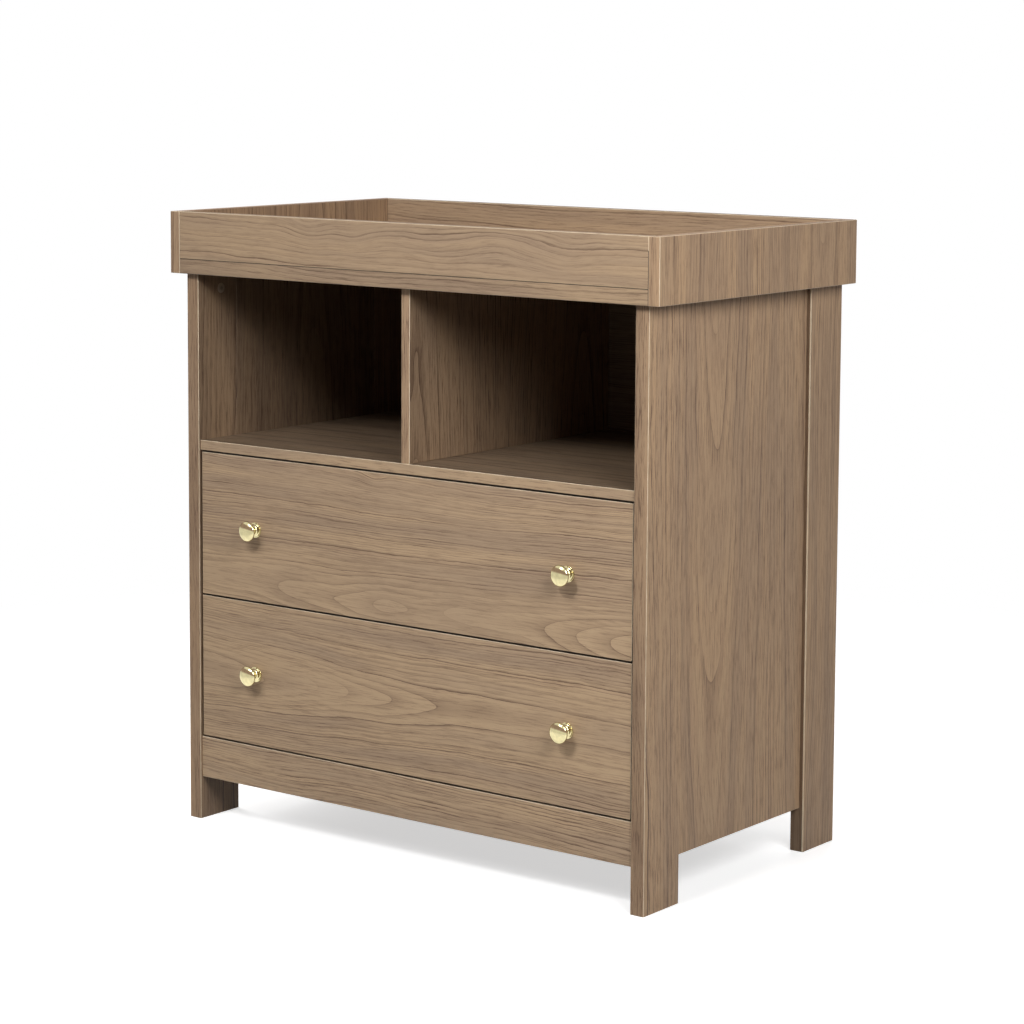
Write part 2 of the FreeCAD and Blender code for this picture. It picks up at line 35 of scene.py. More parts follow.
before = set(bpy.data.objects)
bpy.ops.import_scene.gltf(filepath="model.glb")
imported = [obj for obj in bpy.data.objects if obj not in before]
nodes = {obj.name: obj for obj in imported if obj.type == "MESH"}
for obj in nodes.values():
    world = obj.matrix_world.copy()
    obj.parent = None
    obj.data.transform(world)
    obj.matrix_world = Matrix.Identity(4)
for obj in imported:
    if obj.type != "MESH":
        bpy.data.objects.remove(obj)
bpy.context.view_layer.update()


# ---- node trees --------------------------------------------------------------------------------
class Tree:
    """Shader nodes written as arithmetic on sockets and numbers."""

    def __init__(self, tree):
        self.tree = tree

    def node(self, kind, **settings):
        made = self.tree.nodes.new(kind)
        for key, value in settings.items():
            setattr(made, key, value)
        return made

    def feed(self, socket, value):
        if isinstance(value, bpy.types.NodeSocket):
            self.tree.links.new(value, socket)
        else:
            socket.default_value = value

    def calc(self, operation, *values):
        made = self.node("ShaderNodeMath", operation=operation)
        for socket, value in zip(made.inputs, values):
            self.feed(socket, value)
        return made.outputs[0]

    def add(self, a, b):
        return self.calc("ADD", a, b)

    def sub(self, a, b):
        return self.calc("SUBTRACT", a, b)

    def mul(self, a, b):
        return self.calc("MULTIPLY", a, b)

    def above(self, value, limit):
        return self.calc("GREATER_THAN", value, limit)

    def below(self, value, limit):
        return self.calc("LESS_THAN", value, limit)

    def vector(self, x, y, z):
        made = self.node("ShaderNodeCombineXYZ")
        for socket, value in zip(made.inputs, (x, y, z)):
            self.feed(socket, value)
        return made.outputs[0]

    def split(self, vector):
        made = self.node("ShaderNodeSeparateXYZ")
        self.feed(made.inputs[0], vector)
        return list(made.outputs)

    def noise(self, vector, scale=1.0, detail=2.0, roughness=0.5):
        made = self.node("ShaderNodeTexNoise")
        self.feed(made.inputs["Vector"], vector)
        made.inputs["Scale"].default_value = scale
        made.inputs["Detail"].default_value = detail
        made.inputs["Roughness"].default_value = roughness
        return made.outputs["Fac"]

    def shift(self, noise, reach):
        """Noise as a shift to either side of zero."""
        return self.mul(self.sub(noise, 0.5), reach)

    def ramp(self, value, low, high, out_low=0.0, out_high=1.0, smooth=False):
        made = self.node("ShaderNodeMapRange", clamp=True)
        made.interpolation_type = "SMOOTHSTEP" if smooth else "LINEAR"
        for socket, v in zip(made.inputs, (value, low, high, out_low, out_high)):
            self.feed(socket, v)
        return made.outputs[0]

    def mix(self, factor, a, b):
        """From colour a to colour b."""
        made = self.node("ShaderNodeMix", data_type="RGBA")
        self.feed(made.inputs[0], factor)
        self.feed(made.inputs[6], a)
        self.feed(made.inputs[7], b)
        return made.outputs[2]

    def blend(self, factor, a, b):
        """From number a to number b."""
        made = self.node("ShaderNodeMix", data_type="FLOAT")
        self.feed(made.inputs[0], factor)
        self.feed(made.inputs[2], a)
        self.feed(made.inputs[3], b)
        return made.outputs[0]


class Graph(Tree):
    """The nodes of a new material, which end in its Principled shader."""

    def __init__(self, name):
        self.material = bpy.data.materials.new(name)
        self.material.use_nodes = True
        super().__init__(self.material.node_tree)
        self.shader = self.tree.nodes["Principled BSDF"]

    def place(self):
        return self.split(self.node("ShaderNodeTexCoord").outputs["Object"])

    def normal(self):
        """The flat face's normal."""
        return self.split(self.node("ShaderNodeNewGeometry").outputs["True Normal"])

    def bump(self, height, distance, strength):
        made = self.node("ShaderNodeBump")
        self.feed(made.inputs["Height"], height)
        made.inputs["Distance"].default_value = distance
        made.inputs["Strength"].default_value = strength
        self.feed(self.shader.inputs["Normal"], made.outputs[0])

    def finish(self, **values):
        for key, value in values.items():
            self.feed(self.shader.inputs[key.replace("_", " ")], value)
        return self.material


def tone(r, g, b):
    """A colour written as it looks on screen, 0 to 255."""
    linear = [(c / 255 / 12.92) if c < 10.3 else ((c / 255 + 0.055) / 1.055) ** 2.4
              for c in (r, g, b)]
    return (*linear, 1.0)


# ---- walnut foil -------------------------------------------------------------------------------
WALNUT_LIGHT = tone(190, 162, 130)
WALNUT_GREY = tone(172, 147, 121)
WALNUT_WARM = tone(193, 160, 126)
WALNUT_ROSE = tone(174, 145, 117)
WALNUT_PALE = tone(208, 181, 147)
WALNUT_LINE = tone(98, 73, 58)
# painted highlight and wear on the chamfered arrises
WALNUT_ARRIS_WEAR_AND_HIGHLIGHT = tone(226, 208, 180)
# deep tone for darker foil, and for painted shade in the compartments, on the back legs' step
# faces, on the drawer fronts' edges and in the seams between boards
WALNUT_DEEP_AND_SHADE = tone(40, 28, 20)
RAW_BOARD = tone(128, 98, 72)
RAW_FLECK = tone(86, 62, 44)

FACING = 0.75                   # a face looks along an axis if its normal's part is above this
TURNED = 0.3                    # so does a face or its arris, if above this
FLAT = 0.93                     # an arris is a face with no part of its normal above this

# Clouds of noise: how many in a metre along the grain and across it, shift of the seed, detail.
SWAY_CLOUD = (1.5, 3.5, 0.0, 1.0)
WAVER_CLOUD = (5.0, 16.0, 5.0, 2.0)
JAG_CLOUD = (40.0, 110.0, 6.0, 2.0)
RISE_CLOUD = (3.2, 6.0, 20.0, 2.0)
FAINT_CLOUD = (5.0, 9.0, 9.0, 2.0)
BROAD_CLOUD = (2.6, 45.0, 2.0, 2.0)
STREAK_SCALE = (3.5, 420.0, 90.0)       # along, across and through the board
FIBRE_SCALE = (24.0, 520.0, 520.0)
WEAR_SCALE = 60.0                       # in every direction
FLECK_SCALE = 420.0

# How far the clouds move the grain and the pith, in metres.
SWAY = 0.04
WAVER = 0.009
JAG = 0.003
RISE = 0.015

RING = 0.0028                   # growth ring, where the cut is square to it
UNEVEN = 2.0                    # how far the rings stray from equal widths, in rings
UNEVEN_RATE = 0.4               # and how fast that changes from ring to ring
LINE = 0.0016                   # width of the dark line that ends a ring
LINE_GROWTH = 0.7               # power of the grain's coarseness with which the line widens
TIP_SLOPE = 0.055               # how fast the rings climb along the board at an arch's tip
HALO_END = 0.75                 # part of the ring that the shade beside the line fades over
HALO_CURVE = 1.5                # power by which it fades

# Ramps: the values in at both ends, and the values out where these aren't 0 and 1.
BROAD_RAMP = (0.35, 0.65)
FAINT_RAMP = (0.3, 0.6, 0.35, 1.0)      # weight of the rings by place
CHANCE_RAMP = (0.0, 0.8, 0.3, 1.0)      # weight of each ring by chance
STREAK_RAMP = (0.51, 0.61)
TIP_RAMP = (0.1, 0.5, 0.2, 1.0)         # streaks fade at the arches' tips
PALE_RAMP = (0.30, 0.44)
DARK_RAMP = (0.50, 0.64)
# strength of the painted highlight and wear on the arrises, from the wear clouds
WEAR_AND_HIGHLIGHT_RAMP = (0.25, 0.65, 0.55, 1.0)
FLECK_RAMP = (0.45, 0.65)
ROUGH_RAMP = (0.3, 0.7, 0.46, 0.60)     # roughness by fibre

# How strongly each kind of mark shows.
GLOW = 0.15                     # pale wood before a ring's line
PALE_FIBRE = 0.24
STREAK = 0.26
HALO = 0.52
RING_LINE = 0.42
DARK_FIBRE = 0.38
DARKEST = 0.9                   # limit on all marks together
FINE_LIFT = 0.12                # what keeps the mean tone when the fibres' contrast grows
FIGURE_LIFT = 0.10              # and when the rings' contrast grows
FIBRE_HEIGHT = -0.7             # grooves, as parts of the bump
LINE_HEIGHT = -0.3
BUMP = (0.0002, 0.35)           # its height in metres, and its strength
SHEEN = 0.35                    # the foil's specular level

INSIDE_PAINTED_SHADE = 0.4              # painted shade on the faces inside the compartments, as a part of the deep tone
BANDING_DEPTH = 0.10            # how much deeper the edge banding is
INSIDE_HIGHLIGHT_FRONT = -0.225           # faces with painted inside shade keep the painted arris highlight only in front of this, in Y
SEAM_PAINTED_SHADE = 0.9                # how much painted shade the arrises get where two boards meet in a gap


def foil(g, p, n, face, axes, seed, centre=0.0, pith=0.09, slope=0.020, middle=0.0, period=0.4,
         wave=1.0, coarse=1.0, fine=1.0, figure=1.0, knots=()):
    """Colour, fibre and ring lines of flat-sawn walnut. axes names the board's own axes: along
    the grain, across it and through the board. centre is where the cathedral arches lie across
    the grain, and period how far apart they repeat. At middle, along the grain, the tree's pith
    lies pith below the face, and it sinks from there by slope, which closes the arches. Edges
    and ends are banded, so their grain is straight and runs along the band. wave scales the
    small wavers of the grain, coarse widens the rings, and fine and figure set the contrast of
    the fibres and of the rings. Each knot, (along, across, half length, half width, pull), draws
    the grain round it to one side."""
    long_axis, wide_axis, thick_axis = ("XYZ".index(letter) for letter in axes)
    end = g.above(n[long_axis], FACING)
    along = g.blend(end, p[long_axis], p[wide_axis])
    across = g.blend(face, p[thick_axis], g.sub(p[wide_axis], centre))
    depth = g.blend(face, p[wide_axis], p[thick_axis])

    def cloud(cross, along_scale, cross_scale, shift, detail):
        point = g.vector(g.mul(along, along_scale), g.mul(cross, cross_scale), seed + shift)
        return g.noise(point, detail=detail)

    def stretched(cross, scale):
        return g.vector(*[g.mul(c, s) for c, s in zip((along, cross, depth), scale)])

    sway = g.add(g.shift(cloud(across, *SWAY_CLOUD), SWAY),
                 g.shift(cloud(across, *WAVER_CLOUD), WAVER * wave))
    fibres = g.add(across, sway)
    for knot_along, knot_across, long, high, pull in knots:
        u = g.mul(g.sub(p[long_axis], knot_along), 1.0 / long)
        w = g.mul(g.sub(p[wide_axis], knot_across), 1.0 / high)
        bend = g.calc("POWER", math.e, g.mul(g.add(g.mul(u, u), g.mul(w, w)), -1.0))
        fibres = g.add(fibres, g.mul(g.mul(bend, face), pull))

    # Each ring is a circle of radius r about the pith, cut by the board's face.
    jagged = g.add(fibres, g.shift(cloud(across, *JAG_CLOUD), JAG))
    v = g.calc("PINGPONG", jagged, period / 2)
    climb = g.add(g.mul(g.sub(along, middle), slope), g.shift(cloud(across, *RISE_CLOUD), RISE))
    d = g.add(g.mul(climb, face), pith)
    r = g.calc("SQRT", g.add(g.mul(v, v), g.mul(d, d)))
    lean = g.calc("DIVIDE", v, r)
    steep = g.calc("SQRT", g.add(g.mul(lean, lean), TIP_SLOPE ** 2))

    ring_width = RING * coarse
    years = g.mul(r, 1.0 / ring_width)
    stray = g.noise(g.vector(g.mul(years, UNEVEN_RATE), seed, 3.0), detail=1.0)
    years = g.add(years, g.mul(stray, UNEVEN))
    year = g.node("ShaderNodeTexWhiteNoise", noise_dimensions="1D")
    g.feed(year.inputs["W"], g.calc("FLOOR", years))
    chance = year.outputs["Value"]
    weight = g.mul(g.ramp(g.mul(chance, chance), *CHANCE_RAMP),
                   g.ramp(cloud(across, *FAINT_CLOUD), *FAINT_RAMP))
    f = g.calc("FRACT", years)
    past_line = g.calc("DIVIDE", g.mul(f, ring_width), steep)
    line = g.ramp(past_line, 0.0, LINE * coarse ** LINE_GROWTH, 1.0, 0.0)
    halo = g.calc("POWER", g.ramp(f, 0.0, HALO_END, 1.0, 0.0), HALO_CURVE)
    glow = g.mul(f, f)

    streak = g.noise(stretched(r, STREAK_SCALE), detail=3.0, roughness=0.7)
    streak = g.mul(g.ramp(streak, *STREAK_RAMP), g.ramp(steep, *TIP_RAMP))
    fibre = g.noise(stretched(fibres, FIBRE_SCALE), detail=4.0, roughness=0.75)

    tones = (WALNUT_ROSE, WALNUT_WARM) if axes[0] == "Z" else (WALNUT_GREY, WALNUT_LIGHT)
    body = g.mix(g.ramp(cloud(r, *BROAD_CLOUD), *BROAD_RAMP), *tones)
    body = g.mix(g.mul(g.mul(glow, weight), GLOW), body, WALNUT_PALE)
    body = g.mix(g.ramp(fibre, *PALE_RAMP, PALE_FIBRE * fine, 0.0), body, WALNUT_PALE)
    dark = g.mul(streak, STREAK / coarse * fine)
    dark = g.add(dark, g.mul(g.mul(halo, weight), HALO * figure))
    dark = g.add(dark, g.mul(g.mul(line, weight), RING_LINE * figure))
    dark = g.add(dark, g.mul(g.ramp(fibre, *DARK_RAMP), DARK_FIBRE * fine))
    dark = g.sub(dark, FINE_LIFT * (fine - 1.0) + FIGURE_LIFT * (figure - 1.0))
    dark = g.calc("MINIMUM", g.calc("MAXIMUM", dark, 0.0), DARKEST)
    return g.mix(dark, body, WALNUT_LINE), fibre, line


def walnut(name, axes, seed, shade=1.0, edge=BANDING_DEPTH, rebate=0.0, lip=None, inside=0,
           deep=INSIDE_PAINTED_SHADE, raw=0, seam=None, **cut):
    """A walnut-foiled board, with its grain as foil has it. shade below 1 deepens the whole
    board, and edge its banded edges. rebate deepens the edge that faces the front further, up to
    a strip of painted highlight that starts lip from the middle of the dresser. inside is the
    side, 1 or -1, with painted shade as in the open compartments (2 for both), deep how much of
    it, and raw the side left as bare hardboard. The arrises carry painted highlight and wear;
    below the height seam they carry painted shade instead, as in a gap between boards."""
    g = Graph(name)
    p = g.place()
    signed = g.normal()
    n = [g.calc("ABSOLUTE", part) for part in signed]
    thick_axis = "XYZ".index(axes[2])
    face = g.above(n[thick_axis], FACING)
    colour, fibre, line = foil(g, p, n, face, axes, seed, **cut)

    colour = g.mix(g.blend(face, edge + 1.0 - shade, 1.0 - shade), colour, WALNUT_DEEP_AND_SHADE)
    # deeper front-facing edge: a deeper tone on the tray walls' ends, painted shade on the back
    # legs' step face, with a strip of painted highlight at its outer corner
    if rebate:
        front = g.above(g.mul(signed[1], -1.0), FACING)
        colour = g.mix(g.mul(front, rebate), colour, WALNUT_DEEP_AND_SHADE)
        if lip is not None:
            corner = g.above(g.calc("ABSOLUTE", p[0]), lip)
            colour = g.mix(g.mul(front, corner), colour, WALNUT_ARRIS_WEAR_AND_HIGHLIGHT)
    # uneven wear, which with the painted highlight lightens the arrises
    wear = g.noise(g.vector(*[g.mul(c, WEAR_SCALE) for c in p]), detail=3.0)
    worn_and_highlit = g.ramp(wear, *WEAR_AND_HIGHLIGHT_RAMP)
    # painted shade on the faces inside the compartments and the tray; their arrises lose the
    # painted highlight behind the front
    if inside:
        side = n[thick_axis] if inside == 2 else g.mul(signed[thick_axis], float(inside))
        shaded_within = g.above(side, TURNED)
        colour = g.mix(g.mul(shaded_within, deep), colour, WALNUT_DEEP_AND_SHADE)
        worn_and_highlit = g.mul(worn_and_highlit, g.sub(1.0, g.mul(shaded_within, g.above(p[1], INSIDE_HIGHLIGHT_FRONT))))
    if raw:
        bare = g.above(g.mul(signed[thick_axis], raw), FACING)
        fleck = g.noise(g.vector(*p), scale=FLECK_SCALE, detail=3.0, roughness=0.7)
        colour = g.mix(bare, colour, g.mix(g.ramp(fleck, *FLECK_RAMP), RAW_BOARD, RAW_FLECK))
    # painted highlight and wear on the arrises
    arris = g.below(g.calc("MAXIMUM", g.calc("MAXIMUM", n[0], n[1]), n[2]), FLAT)
    colour = g.mix(g.mul(arris, worn_and_highlit), colour, WALNUT_ARRIS_WEAR_AND_HIGHLIGHT)
    # painted shade on the arrises below the seam, as in a gap between boards
    if seam is not None:
        seam_shaded = g.below(p[2], seam)
        colour = g.mix(g.mul(g.mul(arris, seam_shaded), SEAM_PAINTED_SHADE), colour, WALNUT_DEEP_AND_SHADE)

    g.bump(g.add(g.mul(fibre, FIBRE_HEIGHT), g.mul(line, LINE_HEIGHT)), *BUMP)
    rough = g.ramp(fibre, *ROUGH_RAMP)
    return g.finish(Base_Color=colour, Roughness=rough, Specular_IOR_Level=SHEEN)


# ---- other materials ---------------------------------------------------------------------------
TINT_RAMP = (0.3, 0.7)
DIM = 0.82                      # colour in the dim parts of the clouds
ROUGH_SPREAD = (0.8, 1.25)      # roughness in the dim and bright parts
GRIT = 9.0                      # how much finer the bumps are than the clouds
GRIT_STRENGTH = 0.3


def metal(name, colour, rough, scale, depth, metallic=1.0):
    """Plated, coated or polished metal, nylon or dowel wood, with faint unevenness: scale clouds
    in a metre, and finer bumps of the given depth in metres."""
    g = Graph(name)
    p = g.vector(*g.place())
    cloud = g.noise(p, scale=scale, detail=3.0)
    grit = g.noise(p, scale=scale * GRIT, detail=2.0)
    dim = tuple(c * DIM for c in colour[:3]) + (1.0,)
    tint = g.mix(g.ramp(cloud, *TINT_RAMP), dim, colour)
    uneven = g.ramp(cloud, *TINT_RAMP, *[rough * part for part in ROUGH_SPREAD])
    g.bump(grit, depth, GRIT_STRENGTH)
    return g.finish(Base_Color=tint, Metallic=metallic, Roughness=uneven)


BRASS = metal("polished_brass", tone(216, 205, 159), 0.06, 160.0, 0.00001)
ZINC = metal("zinc_plate", tone(190, 192, 194), 0.34, 220.0, 0.00005)
CAM_METAL = metal("cast_zinc", tone(176, 158, 136), 0.45, 260.0, 0.00005, metallic=0.15)
STEEL = metal("powder_coat", tone(226, 226, 222), 0.42, 400.0, 0.00008, metallic=0.0)
NYLON = metal("nylon", tone(232, 231, 226), 0.38, 500.0, 0.00004, metallic=0.0)
BEECH = metal("beech_dowel", tone(205, 170, 126), 0.6, 300.0, 0.0001, metallic=0.0)


# ---- boards ------------------------------------------------------------------------------------
ARRIS_REACH = 0.002             # the arrises lie within this of a board's edge
HIGHLIGHT_STRIP_WIDTH = 0.0022           # width of the strip of painted highlight at the back legs' outer corner


def low_edge(name):
    """The height below which a board's lower arrises lie."""
    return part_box(name)[0][2] + ARRIS_REACH


LEG_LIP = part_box("leg_back_right")[1][0] - HIGHLIGHT_STRIP_WIDTH
TRAY_SEAM = 0.9                 # below this, all but the top arrises of the tray's walls get painted shade
ALL_SEAM_SHADED = 1.0                  # a seam above the whole board, so all its arrises get painted shade
TRAY_KNOTS = ((-0.165, 0.900, 0.045, 0.030, 0.015), (-0.085, 0.895, 0.040, 0.025, 0.011),
              (0.170, 0.893, 0.050, 0.025, -0.009), (0.290, 0.890, 0.050, 0.030, 0.011))
DRAWER_KNOT = (-0.056, 0.555, 0.022, 0.016, 0.007)

# name: (the board's own axes, seed, settings that differ from the usual)
# inside gives painted shade to faces in the compartments and the tray, and seam to the arrises in
# gaps between boards
BOARDS = {
    # The tray front's shade is painted shade that offsets the lamps' stronger light on it; the tray
    # back's shade is painted shade inside the tray.
    "tray_front_wall": ("XZY", 3.1, dict(
        centre=0.77, wave=2.0, coarse=2.4, fine=0.75, figure=1.05, shade=0.88, seam=TRAY_SEAM,
        knots=TRAY_KNOTS)),
    "tray_back_wall": ("XZY", 17.3, dict(centre=0.74, coarse=1.7, shade=0.77, seam=TRAY_SEAM)),
    "tray_wall_left": ("ZYX", 23.9, dict(
        centre=0.05, middle=0.85, coarse=2.4, rebate=0.1, inside=1, deep=0.32)),
    "tray_wall_right": ("ZYX", 31.7, dict(
        centre=0.16, middle=0.85, coarse=1.9, fine=1.3, rebate=0.1)),
    "top_panel": ("XYZ", 41.3, dict(centre=0.05, edge=0.21, inside=-1, seam=ALL_SEAM_SHADED)),
    "leg_front_left": ("ZYX", 51.9, dict(
        centre=-0.13, middle=0.3, coarse=2.0, fine=1.5, figure=1.2, edge=0.2, inside=1, deep=0.49)),
    "leg_front_right": ("ZYX", 57.7, dict(
        centre=-0.28, middle=0.3, coarse=2.0, fine=2.0, figure=2.0, edge=0.26, inside=-1)),
    # The back legs' rebate is painted shade on their step face and their lip a strip of painted
    # highlight; the right one's shade is painted shade towards the back.
    "leg_back_left": ("ZYX", 61.1, dict(
        centre=0.33, middle=0.5, rebate=0.45, lip=LEG_LIP, inside=1)),
    "leg_back_right": ("ZYX", 67.7, dict(
        centre=0.33, middle=0.5, coarse=2.0, shade=0.97, rebate=0.45, lip=LEG_LIP, inside=-1)),
    "side_panel_left": ("ZYX", 71.3, dict(
        centre=0.03, slope=0.03, middle=0.35, coarse=2.4, fine=1.9, inside=1, deep=0.60)),
    "side_panel_right": ("ZYX", 80.7, dict(
        centre=-0.06, slope=-0.03, middle=0.55, period=0.3, coarse=2.2, fine=1.5, inside=-1)),
    "shelf": ("XYZ", 83.9, dict(
        centre=0.05, coarse=6.0, fine=1.8, figure=1.8, inside=1, deep=0.66,
        seam=low_edge("shelf"))),
    "divider": ("ZYX", 89.3, dict(
        centre=-0.215, middle=0.74, coarse=2.0, fine=1.9, figure=1.3, inside=2)),
    "rail_front": ("XZY", 97.7, dict(centre=0.02, coarse=1.4, fine=1.4, figure=1.6, edge=0.5)),
    "rail_back": ("XZY", 103.3, dict(centre=0.02)),
    "back_panel": ("XZY", 107.9, dict(centre=0.5, inside=-1, deep=0.65, raw=1)),
    # The drawer fronts' dark edges are painted shade in the gaps between the fronts.
    "upper_drawer_front": ("XZY", 121.9, dict(
        centre=0.372, slope=-0.020, period=0.32, fine=0.85, figure=1.15, edge=0.85,
        seam=low_edge("upper_drawer_front"), knots=(DRAWER_KNOT,))),
    "lower_drawer_front": ("XZY", 132.4, dict(
        centre=0.235, middle=-0.15, figure=1.35, edge=0.85, seam=low_edge("lower_drawer_front"))),
}

# The boards of a drawer's box: (own axes, bare side), seeded one step apart from the drawer's seed.
INNER_BOARDS = {"side_left": ("YZX", 0), "side_right": ("YZX", 0), "back": ("XZY", 0),
                "bottom": ("XYZ", -1)}
INNER_SEEDS = {"upper": 131.3, "lower": 149.9}
SEED_STEP = 3.7


def dress(name, material):
    nodes[name].material_slots[0].material = material


for name, (axes, seed, settings) in BOARDS.items():
    dress(name, walnut("walnut_" + name, axes, seed, **settings))
for place, seed in INNER_SEEDS.items():
    for part, (axes, raw) in INNER_BOARDS.items():
        seed += SEED_STEP
        foiled = walnut("inner_" + place + "_" + part, axes, seed, centre=0.3, shade=0.92, raw=raw)
        dress(place + "_drawer_" + part, foiled)

for name in nodes:
    if "roller" in name:
        dress(name, NYLON)
    elif "runner" in name:
        dress(name, STEEL)
    elif name == "dowels":
        dress(name, BEECH)
    elif "cam_" in name or "screw" in name:
        dress(name, ZINC)
    elif name.endswith("_knobs"):
        dress(name, BRASS)


# ---- turned pieces -----------------------------------------------------------------------------
MM = 1000                       # millimetres in a metre
WELD = 1e-7                     # vertices nearer than this are one, in metres
CAD_WELD = 1e-6                 # the same for a CAD node
SHARP = math.radians(35)        # edges sharper than this aren't smoothed
QUARTERS = ((1, 0), (0, 1), (-1, 0), (0, -1))
FACES_INSIDE = 1                # asks delaunay_2d_cdt for the triangles inside the loops
SAME_POINT = 1e-9               # its points nearer than this are one


def revolve(section, steps, flute=1.0):
    """A mesh turned about +Z from the section's (radius, height) pairs in millimetres. Every
    other step stands at flute times the radius."""
    shape = bmesh.new()
    rings = []
    for radius, height in section:
        if radius == 0:
            rings.append([shape.verts.new((0, 0, height / MM))])
            continue
        ring = []
        for i in range(steps):
            turn = 2 * math.pi * i / steps
            out = radius / MM * (flute if i % 2 else 1.0)
            ring.append(shape.verts.new((out * math.cos(turn), out * math.sin(turn), height / MM)))
        rings.append(ring)
    for low, high in zip(rings, rings[1:]):
        for i in range(steps):
            j = (i + 1) % steps
            corners = [low[i % len(low)], low[j % len(low)],
                       high[j % len(high)], high[i % len(high)]]
            shape.faces.new(list(dict.fromkeys(corners)))
    return shape


def cross_capped(section, steps, reach, half, depth):
    """A turned piece whose flat top, at the section's last pair, has a cross recess in it. Its
    arms reach this far from the axis and are twice half wide, all in millimetres."""
    shape = revolve(section, steps)
    radius, height = (value / MM for value in section[-1])
    reach, half, depth = reach / MM, half / MM, depth / MM
    arm = [(reach, -half), (reach, half), (half, half)]
    cross = [(x * c - y * s, x * s + y * c) for c, s in QUARTERS for x, y in arm]
    sides = len(cross)
    turns = [2 * math.pi * i / steps for i in range(steps)]
    rim = [(radius * math.cos(turn), radius * math.sin(turn)) for turn in turns]
    loops = [(i, (i + 1) % steps) for i in range(steps)]
    loops += [(steps + i, steps + (i + 1) % sides) for i in range(sides)]
    flat = [Vector(point) for point in rim + cross]
    cover = delaunay_2d_cdt(flat, loops, [], FACES_INSIDE, SAME_POINT)
    points, triangles = cover[0], cover[2]
    top = [shape.verts.new((point.x, point.y, height)) for point in points]
    for corners in triangles:
        x, y = (abs(sum(points[c][k] for c in corners) / 3) for k in (0, 1))
        if not (min(x, y) < half and max(x, y) < reach):
            shape.faces.new([top[c] for c in corners])
    upper = [shape.verts.new((x, y, height)) for x, y in cross]
    lower = [shape.verts.new((x, y, height - depth)) for x, y in cross]
    for i in range(sides):
        j = (i + 1) % sides
        shape.faces.new([upper[i], upper[j], lower[j], lower[i]])
    shape.faces.new(lower)
    return shape


def made_of(name, shape, places, material, slot, body, *replaced):
    """One piece that holds a copy of the shape at each place, as (point, direction of its +Z)."""
    bmesh.ops.remove_doubles(shape, verts=shape.verts, dist=WELD)
    bmesh.ops.recalc_face_normals(shape, faces=shape.faces)
    single = bpy.data.meshes.new("single")
    shape.to_mesh(single)
    shape.free()
    whole = bmesh.new()
    for point, direction in places:
        first = len(whole.verts)
        whole.from_mesh(single)
        whole.verts.ensure_lookup_table()
        turn = Vector(direction).to_track_quat("Z", "Y").to_matrix().to_4x4()
        move = Matrix.Translation(point) @ turn
        bmesh.ops.transform(whole, matrix=move, verts=whole.verts[first:])
    bpy.data.meshes.remove(single)
    mesh = bpy.data.meshes.new(name)
    whole.to_mesh(mesh)
    whole.free()
    mesh.shade_smooth()
    mesh.set_sharp_from_angle(angle=SHARP)
    made = bpy.data.objects.new(name, mesh)
    bpy.context.scene.collection.objects.link(made)
    mesh.materials.append(material)
    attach(made, body)
    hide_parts(*replaced)


def solids(name):
    """The lowest and highest corner of each solid of a CAD node."""
    shape = bmesh.new()
    shape.from_mesh(nodes[name].data)
    bmesh.ops.remove_doubles(shape, verts=shape.verts, dist=CAD_WELD)
    boxes = []
    seen = set()
    for start in shape.verts:
        if start in seen:
            continue
        seen.add(start)
        group = [start]
        for vert in group:
            for edge in vert.link_edges:
                other = edge.other_vert(vert)
                if other not in seen:
                    seen.add(other)
                    group.append(other)
        boxes.append([Vector([pick(v.co[k] for v in group) for k in range(3)])
                      for pick in (min, max)])
    shape.free()
    return boxes


def arc(cx, cy, wide, high, start, stop, steps):
    """Points on an ellipse of the section, angles in degrees from the radius axis."""
    points = []
    for i in range(steps + 1):
        turn = math.radians(start + (stop - start) * i / steps)
        points.append((max(cx + wide * math.cos(turn), 0.0), cy + high * math.sin(turn)))
    return points


# ---- knobs -------------------------------------------------------------------------------------
KNOB = [(0.0, 0.0), (11.1, 0.0), (11.5, 0.4), (11.5, 1.4)]
KNOB += arc(11.0, 1.5, 0.5, 0.5, 0, 90, 4)
KNOB += [(9.6, 2.1), (9.2, 2.5), (7.2, 2.9), (6.0, 3.6), (5.2, 4.8), (5.0, 6.2), (5.0, 10.4),
         (5.2, 11.8), (5.9, 13.2), (7.4, 14.6), (9.6, 15.8), (12.0, 16.7), (13.7, 17.3),
         (14.6, 17.9)]
KNOB += arc(0.0, 18.9, 15.0, 6.1, -4, 84, 22) + [(0.0, 25.0)]
KNOB_STEPS = 96
KNOB_X = 0.285

for place in ("upper", "lower"):
    low, high = (Vector(corner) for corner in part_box(place + "_drawer_front"))
    for side, x in (("left", -KNOB_X), ("right", KNOB_X)):
        spot = (x, low.y, (low.z + high.z) / 2)
        made_of(place + "_knob_" + side, revolve(KNOB, KNOB_STEPS), [(spot, (0, -1, 0))], BRASS,
                "brass", place + "_drawer", place + "_drawer_knobs")

# ---- fittings ----------------------------------------------------------------------------------
CAM_ACROSS = 0.01386            # across the flats of the CAD cams
CAM_RADIUS = 6.8
CAM_RIM = [(CAM_RADIUS, 0.0), (7.6, 0.0), (7.6, 0.1), (7.3, 0.3), (6.4, 0.35)]
CAM_STEPS = 40
CAM_RECESS = (3.6, 0.6, 2.4)    # reach, half width and depth

